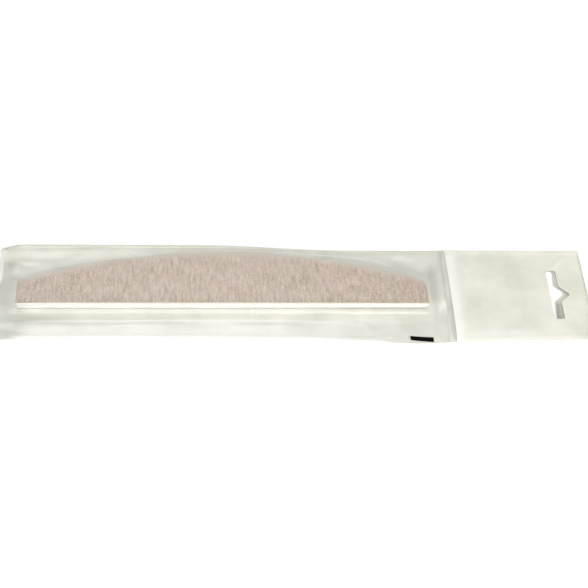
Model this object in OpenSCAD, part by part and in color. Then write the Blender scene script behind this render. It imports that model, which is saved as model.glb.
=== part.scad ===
// Half-moon emery board in its hanging sleeve.
// The board is a laminate: grit, paper, glue, foam and tape on each side of a stiff core plate.
// The sleeve is a welded film pocket with a white header and a hang slot, and it pulls off along +X.
// The origin is on the table, at the middle of the board's straight edge. Lengths are millimetres.

/* [Board outline] */
// Length of the board along its straight edge
board_len = 178; // [120:1:220]
// Width of the board at the middle of the half moon
board_w = 28; // [22:0.5:40]
// Height of the blunt ends
end_h = 12.4; // [8:0.1:18]
// Radius of the two corners at the ends of the arc
corner_r = 2.5; // [1:0.1:4]

/* [Board layers] */
// Thickness of each coat of abrasive grit
grit_t = 0.15; // [0.08:0.01:0.4]
// Thickness of each backing paper
paper_t = 0.2; // [0.1:0.01:0.4]
// Thickness of the glue between paper and foam
glue_t = 0.05; // [0.03:0.01:0.15]
// Thickness of each foam pad
foam_t = 1.1; // [0.6:0.1:3]
// Thickness of the double-sided tape between foam and core
tape_t = 0.05; // [0.03:0.01:0.15]
// Thickness of the stiff core plate
core_t = 0.9; // [0.5:0.1:2]

/* [Sleeve] */
// Thickness of each film
film_t = 0.1; // [0.05:0.01:0.25]
// Sleeve in front of the board's straight edge
near_margin = 17.1; // [11:0.1:30]
// Sleeve behind the crown of the arc
far_margin = 4.9; // [3.5:0.1:15]
// Open pocket beyond the board's left end, up to the mouth
mouth_gap = 7.8; // [6:0.1:20]
// Pocket beyond the board's right end, up to the header
end_gap = 10.6; // [7:0.1:20]
// Length of the header
header_len = 62; // [45:1:90]
// Width of the melted bead along each long side
bead_w = 0.6; // [0.4:0.1:1.5]
// Width of the header weld on the front film
seam_w = 3; // [1.5:0.1:5]
// How far the header weld laps over the start of the header
weld_lap = 0.6; // [0.2:0.1:1.5]
// Thickness of the melted beads above the films
bead_rise = 0.06; // [0.02:0.01:0.15]

/* [Film form] */
// Air between the board and the films
film_gap = 0.3; // [0.2:0.05:0.8]
// Run of the front film from the board's straight edge down to the back film
ramp_run = 6.5; // [4:0.1:9]
// Longest run of the front film from the arc down to the back film
far_run_max = 9; // [5:0.1:12]
// How far the front film puffs up behind the arc
puff = 1.1; // [0:0.1:2]
// Flat strip of front film beside the far bead
far_flange = 0.4; // [0.2:0.1:1]

/* [Hang slot] */
// Width of the slot's bar, along the sleeve
slot_w = 4.4; // [4.2:0.1:6]
// Length of the slot's bar, across the sleeve
slot_len = 27.2; // [18:0.2:32]
// Radius of the bar's corners
slot_corner_r = 0.8; // [0.4:0.1:2]
// How far the bump stands out of the bar
bump_h = 4; // [2.5:0.1:6]
// Width of the bump where it leaves the bar
bump_base = 8.8; // [6:0.1:12]
// Radius of the bump's round tip
bump_tip_r = 1.2; // [0.8:0.1:2]
// Distance from the bar to the end of the header
slot_inset = 17; // [12:0.5:25]

/* [Hidden] */

$fn = 96;
// Facets of the wide arc, which keep it smooth to a few hundredths of a millimetre
arc_fn = 720;
// Extra reach of a cutting shape past the face that it cuts
over = 1;
// Steps in each round corner of the hang slot
corner_steps = 8;

// Board: one list of layer thicknesses from the bottom face up
stack = [grit_t, paper_t, glue_t, foam_t, tape_t, core_t, tape_t, foam_t, glue_t, paper_t, grit_t];
function stack_height(count) = count == 0 ? 0 : stack[count - 1] + stack_height(count - 1);
board_z = film_t + film_gap;
board_top = board_z + stack_height(len(stack));
half_len = board_len / 2;

// Arc of the half moon, through the crown and the tops of both blunt ends
rise = board_w - end_h;
arc_r = (half_len * half_len + rise * rise) / (2 * rise);
arc_cy = board_w - arc_r;
function arc_y(x) = arc_cy + sqrt(arc_r * arc_r - x * x);

// Centre of the round corner that touches both the arc and the right end
corner_x = half_len - corner_r;
corner_y = arc_cy + sqrt(pow(arc_r - corner_r, 2) - corner_x * corner_x);

// Sleeve: edges in the plane of the table
mouth_x = -half_len - mouth_gap;
seam_x = half_len + end_gap;
header_x = seam_x + header_len;
near_y = -near_margin;
far_y = board_w + far_margin;
film_near_y = near_y + bead_w;
film_far_y = far_y - bead_w;

// Heights of the sleeve's layers, one on the other
front_z = film_t;
weld_z = 2 * film_t;
weld_top = weld_z + bead_rise;

// Hang slot, centred across the header
slot_x = header_x - slot_inset;
slot_y = (near_y + far_y) / 2;

// Half moon outline of the board
module board_outline() {
    difference() {
        intersection() {
            translate([0, arc_cy])
                circle(r = arc_r, $fn = arc_fn);
            translate([-half_len, 0])
                square([board_len, board_w]);
        }
        for (side = [-1, 1])
            corner_waste(side);
    }
}

// What a round corner takes off the board, at the left (-1) or right (1) end
module corner_waste(side) {
    lean = atan2(corner_y - arc_cy, corner_x);
    touch = [corner_x + corner_r * cos(lean), corner_y + corner_r * sin(lean)];
    mirror([side < 0 ? 1 : 0, 0])
        difference() {
            polygon([
                [corner_x, corner_y],
                [half_len + over, corner_y],
                [half_len + over, board_w],
                [touch[0], board_w],
                touch
            ]);
            translate([corner_x, corner_y])
                circle(r = corner_r);
        }
}

// One layer of the laminate, counted from the bottom face
module layer(index) {
    translate([0, 0, board_z + stack_height(index)])
        linear_extrude(height = stack[index])
            board_outline();
}

module lower_grit_coat() {
    color("#C2B0A4") layer(0);
}

module lower_backing_paper() {
    color("#A89C92") layer(1);
}

module lower_glue_film() {
    color("#E9E2CE") layer(2);
}

module lower_foam_pad() {
    color("#FDFAF4") layer(3);
}

module lower_core_tape() {
    color("#E4E4DE") layer(4);
}

module core_plate() {
    color("#FFFFFF") layer(5);
}

module upper_core_tape() {
    color("#E4E4DE") layer(6);
}

module upper_foam_pad() {
    color("#FDFAF4") layer(7);
}

module upper_glue_film() {
    color("#E9E2CE") layer(8);
}

module upper_backing_paper() {
    color("#A89C92") layer(9);
}

module upper_grit_coat() {
    color("#CABBAD") layer(10);
}

// Points of a round corner about a centre, from one angle to another
function corner(centre, r, from, to) = [
    for (i = [0:corner_steps])
        let (a = from + (to - from) * i / corner_steps)
        centre + r * [cos(a), sin(a)]
];

// Hang slot outline: a bar across the sleeve with a round-tipped bump towards the header's end.
// The bump's sides are the tangents from its base to its tip.
module slot_outline() {
    near = slot_corner_r - slot_len / 2;
    far = slot_len / 2 - slot_corner_r;
    left = slot_corner_r;
    right = slot_w - slot_corner_r;
    base = bump_base / 2;
    tip = [slot_w + bump_h - bump_tip_r, 0];
    reach = [slot_w - tip[0], base];
    touch = atan2(reach[1], reach[0]) - acos(bump_tip_r / norm(reach));
    translate([slot_x, slot_y])
        polygon(concat(
            corner([left, near], slot_corner_r, 180, 270),
            corner([right, near], slot_corner_r, 270, 360),
            [[slot_w, -base]],
            corner(tip, bump_tip_r, -touch, touch),
            [[slot_w, base]],
            corner([right, far], slot_corner_r, 0, 90),
            corner([left, far], slot_corner_r, 90, 180)
        ));
}

// A flat film from x0 to x1, between the two beads, with or without the hang slot
module flat_film(x0, x1, z) {
    translate([0, 0, z])
        linear_extrude(height = film_t)
            difference() {
                translate([x0, film_near_y])
                    square([x1 - x0, film_far_y - film_near_y]);
                slot_outline();
            }
}

module back_film() {
    color("#E7E8DA") flat_film(mouth_x, header_x, 0);
}

module header_film() {
    color("#E7E8DA") flat_film(seam_x, header_x, front_z);
}

// Weld across the sleeve, over the end of the front film and the start of the header
module header_weld() {
    color("#CACABB")
        translate([seam_x - seam_w, film_near_y, weld_z])
            cube([seam_w + weld_lap, film_far_y - film_near_y, bead_rise]);
}

// Melted bead that closes one long side, with the films' edges against it
module side_bead(y) {
    translate([mouth_x, y, 0])
        cube([header_x - mouth_x, bead_w, weld_top]);
}

module near_side_weld() {
    color("#DCDCCF") side_bead(near_y);
}

module far_side_weld() {
    color("#DCDCCF") side_bead(film_far_y);
}

// Front film. Each cross-section is a path of [y, z] points on the film's inner face.
// Left of the crown the raised part is a tunnel as wide as the board, so that the board slides
// out of the mouth. Right of the crown it follows the arc.
roof_z = board_top + film_gap;
roof_near_y = -2 * film_gap;
ramp_foot_y = roof_near_y - ramp_run;
end_run = end_gap - film_gap - seam_w;
ramp_steps = 8;
far_steps = 9;
arc_steps = 14;
end_steps = 7;

function ease(t) = t * t * (3 - 2 * t);
function roof_far_y(x) = film_gap + (x <= 0 ? board_w : arc_y(min(x, half_len)));
function far_run(x) = min(far_run_max, film_far_y - far_flange - roof_far_y(x));
// Puff fades out from the crown to the right end
function puff_at(x) = puff * (x <= 0 ? 1 : 1 - ease(min(1, x / half_len)));
// Height of the form at x, as a share of its full height: it falls to nothing past the board
function end_share(x) = 1 - ease(max(0, min(1, (x - half_len - film_gap) / end_run)));

// Points of the ramp in front of the board, from its foot up to the roof
function near_ramp() = [
    for (i = [0:ramp_steps])
        [ramp_foot_y + ramp_run * i / ramp_steps, front_z + (roof_z - front_z) * ease(i / ramp_steps)]
];
// Points behind the arc: a puffed quarter ellipse from the roof down to the flange
function far_drop(x) = [
    for (i = [0:far_steps])
        let (a = 90 * i / far_steps)
        [
            roof_far_y(x) + far_run(x) * sin(a),
            front_z + (roof_z - front_z) * cos(a) + puff_at(x) * sin(2 * a) * cos(a)
        ]
];
function full_path(x) = concat([[film_near_y, front_z]], near_ramp(), far_drop(x), [[film_far_y, front_z]]);
function inner_path(x) = [
    for (p = full_path(x))
        [p[0], front_z + (p[1] - front_z) * end_share(x)]
];

// Unit normal of a step of the path, pointing out of the pocket
function step_normal(a, b) = let (d = b - a) [-d[1], d[0]] / norm(d);
// The outer face lies one film thickness out, square to the path on both sides of each point
function outer_path(path) = [
    for (i = [0:len(path) - 1])
        let (
            before = step_normal(path[max(0, i - 1)], path[max(1, i)]),
            after = step_normal(path[min(i, len(path) - 2)], path[min(i + 1, len(path) - 1)])
        )
        path[i] + film_t * (before + after) / (1 + before * after)
];

stations = concat(
    [mouth_x, mouth_x / 2],
    [for (i = [0:arc_steps]) half_len * i / arc_steps],
    [for (i = [0:end_steps]) half_len + film_gap + end_run * i / end_steps],
    [seam_x]
);

module front_film() {
    // Each ring runs along the inner face and back along the outer face
    rings = [
        for (x = stations)
            let (inside = inner_path(x), outside = outer_path(inside), count = len(inside))
            concat(
                [for (p = inside) [x, p[0], p[1]]],
                [for (i = [1:count]) [x, outside[count - i][0], outside[count - i][1]]]
            )
    ];
    size = len(rings[0]);
    half = size / 2;
    last = (len(rings) - 1) * size;
    points = [for (ring = rings) each ring];
    sides = [
        for (k = [0:len(rings) - 2])
            for (i = [0:size - 1])
                let (a = k * size + i, b = k * size + (i + 1) % size)
                each [[a, a + size, b], [b, a + size, b + size]]
    ];
    // The two ends are strips between the inner and the outer face
    mouth_end = [
        for (i = [0:half - 2])
            each [[i, i + 1, size - 1 - i], [i + 1, size - 2 - i, size - 1 - i]]
    ];
    seam_end = [
        for (i = [0:half - 2])
            let (a = last + i, b = last + size - 1 - i)
                each [[a, b, a + 1], [a + 1, b, b - 1]]
    ];
    color("#D2D0C5", 0.45)
        polyhedron(points = points, faces = concat(sides, mouth_end, seam_end), convexity = 6);
}

upper_grit_coat();
upper_backing_paper();
upper_glue_film();
upper_foam_pad();
upper_core_tape();
core_plate();
lower_core_tape();
lower_foam_pad();
lower_glue_film();
lower_backing_paper();
lower_grit_coat();
back_film();
front_film();
header_film();
header_weld();
near_side_weld();
far_side_weld();
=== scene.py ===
"""Dresses a half-moon emery board in its hanging sleeve: grit, foam, paper, pearly film and clear film.

Every size is in metres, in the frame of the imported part: X along the board towards the header, Y across
the board towards the crown of its arc, Z up from the table.
"""
import logging
import math
from dataclasses import dataclass, field
from enum import Enum

import bpy
import numpy as np
from mathutils import Matrix, Vector, geometry


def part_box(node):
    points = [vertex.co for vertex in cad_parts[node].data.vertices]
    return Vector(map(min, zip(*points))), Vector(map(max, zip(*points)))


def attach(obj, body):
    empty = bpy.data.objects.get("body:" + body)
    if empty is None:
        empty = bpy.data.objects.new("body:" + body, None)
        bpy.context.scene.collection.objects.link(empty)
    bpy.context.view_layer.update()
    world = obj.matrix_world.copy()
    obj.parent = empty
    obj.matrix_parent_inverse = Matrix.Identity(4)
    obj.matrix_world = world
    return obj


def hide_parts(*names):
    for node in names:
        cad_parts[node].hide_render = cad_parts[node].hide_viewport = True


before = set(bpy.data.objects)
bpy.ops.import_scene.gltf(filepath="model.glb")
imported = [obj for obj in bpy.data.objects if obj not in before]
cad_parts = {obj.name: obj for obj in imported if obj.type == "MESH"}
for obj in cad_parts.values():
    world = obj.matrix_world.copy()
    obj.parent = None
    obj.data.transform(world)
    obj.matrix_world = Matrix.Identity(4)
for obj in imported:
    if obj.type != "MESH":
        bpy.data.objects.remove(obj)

LOG = logging.getLogger("emery_board")
MM = 0.001
# Weights from 0 to 1 that are painted on the meshes and read by the finishes: how much greyer the grit is
# towards the arc, how much painted shade darkens the clear film, how much painted light whitens the films,
# and how much painted shade greys the back film beside the hang slot and the header weld towards its near
# end
ARC_GREY = "arc_grey"
PAINTED_FILM_SHADE = "painted_film_shade"
PAINTED_LIGHT = "milky"
PAINTED_GREY_SHADE = "painted_grey_shade"
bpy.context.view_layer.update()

Tree = bpy.types.NodeTree
Socket = bpy.types.NodeSocket
Grid = np.ndarray
Pair = tuple[float, float]
Triple = tuple[float, float, float]


class Body(Enum):
    """The two rigid bodies of the part."""

    BOARD = "board"
    SLEEVE = "sleeve"


class Side(Enum):
    """The upper and the lower half of the laminate, with the direction that each faces."""

    UPPER = 1
    LOWER = -1


def ease(share: Grid | float) -> Grid:
    """A smooth step.

    Args:
        share: Position along the step, where 0 is its start and 1 its end.

    Returns:
        The height of the step, from 0 to 1.
    """
    t = np.clip(share, 0.0, 1.0)
    return t * t * (3.0 - 2.0 * t)


def hump(value: Grid, middle: float, reach: float) -> Grid:
    """A soft bump.

    Args:
        value: Places.
        middle: Where the bump is highest.
        reach: How far from its middle it has sunk to about a third.

    Returns:
        The height of the bump, from 0 to 1.
    """
    return np.exp(-(((value - middle) / reach) ** 2))


@dataclass(frozen=True)
class Fade:
    """A smooth step from a start over a run, both in millimetres."""

    start: float
    run: float

    def rise(self, value: Grid) -> Grid:
        """The step from 0 to 1 over values in metres."""
        return ease((value / MM - self.start) / self.run)

    def fall(self, value: Grid) -> Grid:
        """The step from 1 to 0 over values in metres."""
        return 1 - self.rise(value)


def linear(colour: str) -> tuple[float, float, float, float]:
    """Turns an sRGB hex colour into the linear colour that a shader takes.

    Args:
        colour: Six hex digits after a hash sign.

    Returns:
        Linear red, green, blue and an alpha of 1.
    """
    channels = []
    for start in (1, 3, 5):
        value = int(colour[start:start + 2], 16) / 255
        channels.append(value / 12.92 if value <= 0.04045 else ((value + 0.055) / 1.055) ** 2.4)
    return (channels[0], channels[1], channels[2], 1.0)


def add_node(tree: Tree, kind: str, settings: dict, links: dict) -> bpy.types.Node:
    """Adds one shader node with its settings and what feeds it.

    Args:
        tree: The material's or world's node tree.
        kind: Blender's name for the kind of node.
        settings: Attributes of the node itself.
        links: Input names or numbers, each with a value or with the socket that feeds it.

    Returns:
        The new node.
    """
    node = tree.nodes.new(kind)
    for name, value in settings.items():
        setattr(node, name, value)
    for name, value in links.items():
        if isinstance(value, Socket):
            tree.links.new(value, node.inputs[name])
        else:
            node.inputs[name].default_value = value
    return node


@dataclass(frozen=True)
class Pattern:
    """The steps that patterns share. Each adds a node to the tree and gives the socket that comes out."""

    tree: Tree
    place: Socket

    def noise(self, size: float | Triple, detail: float = 2.0,
              roughness: float = 0.5) -> Socket:
        """Adds noise with features of one size, or of a size of its own along each axis."""
        vector, scale = self.place, 1.0
        if isinstance(size, tuple):
            vector = add_node(self.tree, "ShaderNodeMapping", {}, {
                "Vector": self.place, "Scale": tuple(1 / each for each in size),
            }).outputs["Vector"]
        else:
            scale = 1 / size
        return add_node(self.tree, "ShaderNodeTexNoise", {}, {
            "Vector": vector, "Scale": scale, "Detail": detail, "Roughness": roughness,
        }).outputs["Fac"]

    def mix(self, share: float, first: Socket, second: Socket) -> Socket:
        """Mixes two patterns, with a share of the second one."""
        links = {"Factor": share, "A": first, "B": second}
        return add_node(self.tree, "ShaderNodeMix", {}, links).outputs["Result"]

    def spread(self, value: Socket, start: float, stop: float, least: float, most: float) -> Socket:
        """Stretches what lies from start to stop, so that it runs from least to most."""
        return add_node(self.tree, "ShaderNodeMapRange", {}, {
            "Value": value, "From Min": start, "From Max": stop, "To Min": least, "To Max": most,
        }).outputs["Result"]

    def calc(self, operation: str, *values: Socket | float) -> Socket:
        """Adds one step of arithmetic on sockets and numbers."""
        settings = {"operation": operation}
        return add_node(self.tree, "ShaderNodeMath", settings, dict(enumerate(values))).outputs["Value"]

    def band(self, factor: Socket, *stops: tuple[float, str]) -> Socket:
        """Colours a factor through stops, each a position and an sRGB hex colour, from low to high."""
        band = add_node(self.tree, "ShaderNodeValToRGB", {}, {"Fac": factor})
        ramp = band.color_ramp
        while len(ramp.elements) < len(stops):
            ramp.elements.new(0.5)
        for element, (position, colour) in zip(ramp.elements, stops):
            element.position = position
            element.color = linear(colour)
        return band.outputs["Color"]

    def tint(self, share: Socket | float, ground: Socket, colour: Socket | str,
             blend: str = "MIX") -> Socket:
        """Blends a share of a colour over the ground."""
        over = linear(colour) if isinstance(colour, str) else colour
        settings = {"data_type": "RGBA", "blend_type": blend}
        return add_node(self.tree, "ShaderNodeMix", settings, {0: share, 6: ground, 7: over}).outputs[2]

    def weight(self, name: str) -> Socket:
        """Reads a weight that was painted on the piece."""
        return add_node(self.tree, "ShaderNodeAttribute", {"attribute_name": name}, {}).outputs["Fac"]

    def bump(self, height: Socket, strength: float, depth: float) -> Socket:
        """Adds a fine relief to the normals."""
        return add_node(self.tree, "ShaderNodeBump", {}, {
            "Strength": strength, "Distance": depth, "Height": height,
        }).outputs["Normal"]

    def matter(self, sockets: dict) -> Socket:
        """Adds the shader itself, with its own sockets set or fed."""
        return add_node(self.tree, "ShaderNodeBsdfPrincipled", {}, sockets).outputs["BSDF"]

    def layered(self, share: Socket, under: Socket, over: Socket) -> Socket:
        """Lays a share of one shader over another one."""
        links = {0: share, 1: under, 2: over}
        return add_node(self.tree, "ShaderNodeMixShader", {}, links).outputs["Shader"]


@dataclass(frozen=True)
class Finish:
    """A named surface finish. Each kind fills in its own pattern."""

    name: str

    def material(self) -> bpy.types.Material:
        """Builds the material, or returns it if it was built before."""
        made = bpy.data.materials.get(self.name)
        if made is not None:
            return made
        made = bpy.data.materials.new(self.name)
        made.use_nodes = True
        tree = made.node_tree
        tree.nodes.clear()
        place = add_node(tree, "ShaderNodeTexCoord", {}, {}).outputs["Object"]
        surface = self.surface(Pattern(tree, place))
        add_node(tree, "ShaderNodeOutputMaterial", {}, {"Surface": surface})
        return made

    def surface(self, pattern: Pattern) -> Socket:
        """Adds the finish's nodes.

        Args:
            pattern: Adds nodes to the material's tree.

        Returns:
            The shader socket of the surface.
        """
        raise NotImplementedError


@dataclass(frozen=True)
class CoatedAbrasive(Finish):
    """Aluminium oxide grit electrocoated in resin on paper: dull, speckled, streaked across the board.

    The coating runs across the board's width, so the eye reads short dark and light streaks along Y.
    """

    name: str = "aluminium_oxide_coated_paper"
    shadow: str = "#A4958A"
    body: str = "#CFBBAE"
    light: str = "#E9DFD4"
    pink: str = "#FFF6F2"
    plain: str = "#FDFAF4"
    straw: str = "#F9F8ED"
    olive: str = "#ECF1DD"
    thin: str = "#CFC8B8"
    crystal: str = "#FBF1DF"
    streak_width: float = 1.1 * MM
    streak_length: float = 5.2 * MM
    grain: float = 0.45 * MM
    grain_share: float = 0.45
    grain_middle: float = 0.53
    blotch: float = 7 * MM
    blotch_share: float = 0.08
    drift_share: float = 0.4
    broken_rim: float = 3.2 * MM
    rim_specks: float = 0.75
    even_half: float = 48 * MM
    broken_half: float = 89 * MM
    end_specks: float = 0.6

    def surface(self, pattern: Pattern) -> Socket:
        """Adds streaks, grains and soft blotches, all dull. See Finish.surface."""
        streaks = pattern.noise((self.streak_width, self.streak_length, self.streak_length), 2.0, 0.62)
        grains = pattern.noise(self.grain, 2.0, 0.7)
        blotches = pattern.noise(self.blotch, 1.0)
        settled = pattern.mix(self.blotch_share, pattern.mix(self.grain_share, streaks, grains), blotches)
        # The die breaks crystals loose along the straight edge and at the ends, so the specks there are
        # darker and lighter
        split = add_node(pattern.tree, "ShaderNodeSeparateXYZ", {}, {"Vector": pattern.place})
        broken = pattern.spread(split.outputs["Y"], 0.0, self.broken_rim, self.rim_specks, 0.0)
        along = pattern.calc("ABSOLUTE", split.outputs["X"])
        ends = pattern.spread(along, self.even_half, self.broken_half, 0.0, self.end_specks)
        specks = pattern.calc("MAXIMUM", broken, ends)
        loose = pattern.calc("SUBTRACT", grains, self.grain_middle)
        settled = pattern.calc("MULTIPLY_ADD", loose, specks, settled)
        tone = pattern.band(settled, (0.3, self.shadow), (0.5, self.body), (0.7, self.light))
        # Resin over the grit is pinker in some places and yellower in others
        drifts = pattern.mix(self.drift_share, blotches, streaks)
        hue = pattern.band(drifts, (0.37, self.straw), (0.5, self.plain), (0.63, self.pink))
        colour = pattern.tint(1.0, tone, hue, "MULTIPLY")
        colour = pattern.tint(broken, colour, self.olive, "MULTIPLY")
        # Here and there a crystal stands clear of the resin
        colour = pattern.tint(pattern.spread(grains, 0.6, 0.7, 0.0, 0.7), colour, self.crystal)
        # The grit's colour turns greyer within a few millimetres of the arc
        colour = pattern.tint(pattern.weight(ARC_GREY), colour, self.thin)
        # Single crystals catch the light, so the gloss comes in specks between dull resin
        return pattern.matter({
            "Base Color": colour, "Roughness": pattern.spread(grains, 0.5, 0.68, 0.92, 0.42),
            "Normal": pattern.bump(grains, 0.5, 0.08 * MM), "Specular IOR Level": 0.35,
        })


@dataclass(frozen=True)
class ClosedCellFoam(Finish):
    """Die-cut EVA foam: bright white and matt, with cells cut open along the edge."""

    name: str = "die_cut_eva_foam"
    cell_shadow: str = "#EFEBE2"
    wall: str = "#FDFBF6"
    cell: float = 0.28 * MM

    def surface(self, pattern: Pattern) -> Socket:
        """Adds open cells as a fine pitted pattern. See Finish.surface."""
        cells = add_node(pattern.tree, "ShaderNodeTexVoronoi", {}, {
            "Vector": pattern.place, "Scale": 1 / self.cell, "Randomness": 1.0,
        }).outputs["Distance"]
        return pattern.matter({
            "Base Color": pattern.band(cells, (0.05, self.cell_shadow), (0.45, self.wall)),
            "Roughness": 0.82, "Normal": pattern.bump(cells, 0.4, 0.06 * MM), "Specular IOR Level": 0.3,
        })


@dataclass(frozen=True)
class CutSheet(Finish):
    """A sheet seen at its die-cut edge: fine drag marks run up and down the cut."""

    name: str
    dark: str
    pale: str
    gloss: float
    drag: float = 0.4 * MM
    height: float = 4 * MM

    def surface(self, pattern: Pattern) -> Socket:
        """Adds drag marks across the cut edge. See Finish.surface."""
        drags = pattern.noise((self.drag, self.drag, self.height))
        return pattern.matter({
            "Base Color": pattern.band(drags, (0.3, self.dark), (0.7, self.pale)),
            "Roughness": 1 - self.gloss, "Normal": pattern.bump(drags, 0.3, 0.03 * MM),
        })


@dataclass(frozen=True)
class PearlFilm(Finish):
    """Pearlised BOPP film: cast with tiny voids, so it is milky white with a soft, satin shine.

    Slow cloudiness and a faint grain along the web keep it from reading as card.
    """

    name: str = "pearlised_bopp_film"
    deep: str = "#DDDDCF"
    milk: str = "#E6E5D8"
    bloom: str = "#EEECDF"
    grey_shade: str = "#9A9A8D"
    lit_white: str = "#FFFFF6"
    cloud: float = 17 * MM
    web: float = 0.9 * MM
    web_share: float = 0.08
    run: float = 22 * MM

    def surface(self, pattern: Pattern) -> Socket:
        """Adds slow clouds and web grain under a satin coat. See Finish.surface."""
        clouds = pattern.noise(self.cloud, 3.0, 0.55)
        web = pattern.noise((self.run, self.web, self.web))
        mixed = pattern.mix(self.web_share, clouds, web)
        colour = pattern.band(mixed, (0.36, self.deep), (0.5, self.milk), (0.64, self.bloom))
        # Painted shade greys the film beside the near end of the hang slot, where the header film shades it
        colour = pattern.tint(pattern.weight(PAINTED_GREY_SHADE), colour, self.grey_shade)
        # Painted light whitens it beside the header weld and along the header's near side
        colour = pattern.tint(pattern.weight(PAINTED_LIGHT), colour, self.lit_white)
        return pattern.matter({
            "Base Color": colour, "Roughness": pattern.spread(clouds, 0.35, 0.65, 0.34, 0.46),
            "Normal": pattern.bump(web, 0.12, 0.05 * MM), "Coat Weight": 0.25, "Coat Roughness": 0.22,
        })


@dataclass(frozen=True)
class ClearFilm(Finish):
    """Clear BOPP film: seen through nearly whole, with a thin milky haze and a wet-looking gloss.

    The haze thickens a little in slow drifts. The gloss grows towards the grazing angles, as on all film.
    """

    name: str = "clear_bopp_film"
    haze: str = "#F1F0EA"
    passed: str = "#FDFDFD"
    film_shade: str = "#959B8C"
    lit_white: str = "#FEFEF8"
    shine: str = "#FFFFFF"
    least_haze: float = 0.02
    most_haze: float = 0.06
    ior: float = 1.49
    edge_gloss: float = 0.45
    falloff: float = 5.0
    drift: float = 13 * MM

    def surface(self, pattern: Pattern) -> Socket:
        """Adds haze and gloss over a see-through base. See Finish.surface."""
        cover = pattern.spread(pattern.noise(self.drift), 0.32, 0.68, self.least_haze, self.most_haze)
        seen = add_node(pattern.tree, "ShaderNodeBsdfTransparent", {}, {
            "Color": linear(self.passed),
        }).outputs["BSDF"]
        # Painted shade darkens the film at the mouth, beside the board's inner end and the weld, in patches
        # and along the far side, and painted light whitens it along the sealed near side and at the cut end
        # of the mouth
        for share, colour, roughness in (
            (cover, self.haze, 0.5),
            (pattern.weight(PAINTED_FILM_SHADE), self.film_shade, 0.7),
            (pattern.weight(PAINTED_LIGHT), self.lit_white, 0.5),
        ):
            veil = pattern.matter({"Base Color": linear(colour), "Roughness": roughness})
            seen = pattern.layered(share, seen, veil)
        gloss = pattern.matter({"Base Color": linear(self.shine), "Metallic": 1.0, "Roughness": 0.24})
        facing = add_node(pattern.tree, "ShaderNodeLayerWeight", {}, {"Blend": 0.5}).outputs["Facing"]
        head_on = ((self.ior - 1) / (self.ior + 1)) ** 2
        bent = pattern.calc("POWER", facing, self.falloff)
        edge_on = pattern.calc("MULTIPLY_ADD", bent, self.edge_gloss * (1 - head_on), head_on)
        return pattern.layered(edge_on, seen, gloss)


@dataclass(frozen=True)
class MeltedFilm(Finish):
    """Film that was melted and pressed: greyer than the film around it, with fine crimp lines."""

    name: str = "heat_sealed_bopp"
    pressed: str = "#E6E6DB"
    raised: str = "#F0F0E6"
    grey_shade: str = "#A9AA9E"
    uneven: float = 6 * MM
    crimp: float = 0.55 * MM
    crimp_share: float = 0.25

    def surface(self, pattern: Pattern) -> Socket:
        """Adds crimp lines along the weld. See Finish.surface."""
        crimps = add_node(pattern.tree, "ShaderNodeTexWave", {"bands_direction": "X"}, {
            "Vector": pattern.place, "Scale": 1 / self.crimp / (2 * math.pi), "Distortion": 0.6,
        }).outputs["Fac"]
        mixed = pattern.mix(self.crimp_share, pattern.noise(self.uneven), crimps)
        colour = pattern.band(mixed, (0.3, self.pressed), (0.7, self.raised))
        # Painted shade: the weld is greyer towards its near end
        colour = pattern.tint(pattern.weight(PAINTED_GREY_SHADE), colour, self.grey_shade)
        return pattern.matter({
            "Base Color": colour, "Roughness": 0.3, "Normal": pattern.bump(crimps, 0.2, 0.04 * MM),
            "Coat Weight": 0.3, "Coat Roughness": 0.2,
        })


@dataclass(frozen=True)
class PrintedInk(Finish):
    """Flexographic ink on film: dense black and nearly matt, with faint mottling."""

    name: str = "flexographic_black_ink"
    dense: str = "#050404"
    thin: str = "#100F0D"
    mottle: float = 0.5 * MM

    def surface(self, pattern: Pattern) -> Socket:
        """Adds mottled ink cover. See Finish.surface."""
        colour = pattern.band(pattern.noise(self.mottle), (0.35, self.dense), (0.75, self.thin))
        return pattern.matter({"Base Color": colour, "Roughness": 0.6, "Specular IOR Level": 0.03})


@dataclass(frozen=True)
class StudioSweep(Finish):
    """A white paper sweep, a little brighter to the camera, so that it is white and keeps the shadow."""

    name: str = "white_paper_sweep"
    paper: str = "#F6F6F4"
    fibre: float = 2 * MM
    lift: float = 0.3

    def surface(self, pattern: Pattern) -> Socket:
        """Adds matt paper and the lift that only the camera and reflections see. See Finish.surface."""
        paper = pattern.matter({
            "Base Color": linear(self.paper), "Roughness": 0.9, "Specular IOR Level": 0.1,
            "Normal": pattern.bump(pattern.noise(self.fibre), 0.02, 0.05 * MM),
        })
        seen, _ = rays_seen(pattern.tree)
        strength = pattern.calc("MULTIPLY", seen, self.lift)
        glow = add_node(pattern.tree, "ShaderNodeEmission", {}, {"Strength": strength}).outputs["Emission"]
        return add_node(pattern.tree, "ShaderNodeAddShader", {}, {0: paper, 1: glow}).outputs["Shader"]


def rays_seen(tree: Tree) -> tuple[Socket, Socket]:
    """Adds the tests for the rays that show something, rather than light it.

    Args:
        tree: The node tree.

    Returns:
        A socket that is 1 for rays from the camera, a mirror or clear film, and one that is 1 for rays
        straight from the camera. Both are 0 for the light that falls on the object.
    """
    path = add_node(tree, "ShaderNodeLightPath", {}, {}).outputs
    seen = path["Is Camera Ray"]
    for other in ("Is Glossy Ray", "Is Transmission Ray"):
        links = {0: seen, 1: path[other]}
        seen = add_node(tree, "ShaderNodeMath", {"operation": "MAXIMUM"}, links).outputs["Value"]
    return seen, path["Is Camera Ray"]


GRIT = CoatedAbrasive()
FOAM = ClosedCellFoam()
# Kraft backing paper: brown-grey and matt
PAPER = CutSheet("kraft_backing_paper", "#989286", "#BAB5A9", 0.12)
# Acrylic transfer glue: yellowish and slightly glossy
GLUE = CutSheet("acrylic_transfer_glue", "#DCD3B8", "#EFE9D6", 0.4)
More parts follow.
